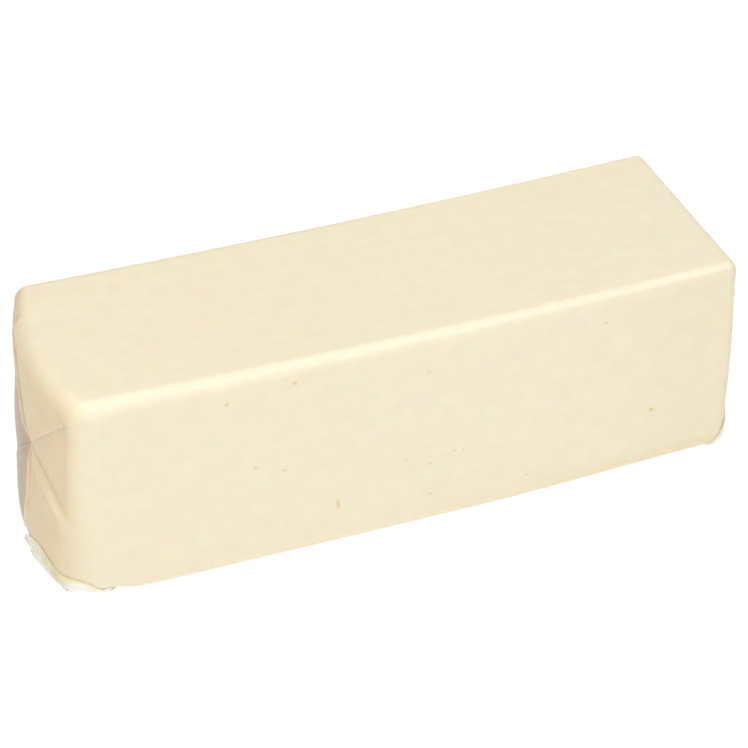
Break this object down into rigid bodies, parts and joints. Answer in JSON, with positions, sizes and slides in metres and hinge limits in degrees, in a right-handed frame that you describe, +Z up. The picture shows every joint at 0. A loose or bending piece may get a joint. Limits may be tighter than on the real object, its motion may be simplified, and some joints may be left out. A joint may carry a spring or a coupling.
{
  "type": "american cheese loaf",
  "caption": "Long soft-edged block of white process cheese, sealed skin-tight in clear film, with envelope-folded ends and a short film tail under each end.",
  "frame": {"origin": "middle of the bounding box, on the surface that the loaf rests on", "axes": "+Z up; X runs along the loaf, with the end that the picture shows at -X; the long side that the picture shows faces -Y"},
  "size_m": [0.2805, 0.09, 0.0865],
  "materials": {
    "cheese": "smooth, dense white process cheese, slightly translucent, under film",
    "film": "thin clear wrapping film, glossy, skin-tight, milky where it is layered"
  },
  "bodies": {
    "root": {"cheese_loaf": "cheese"}
  },
  "joints": []
}
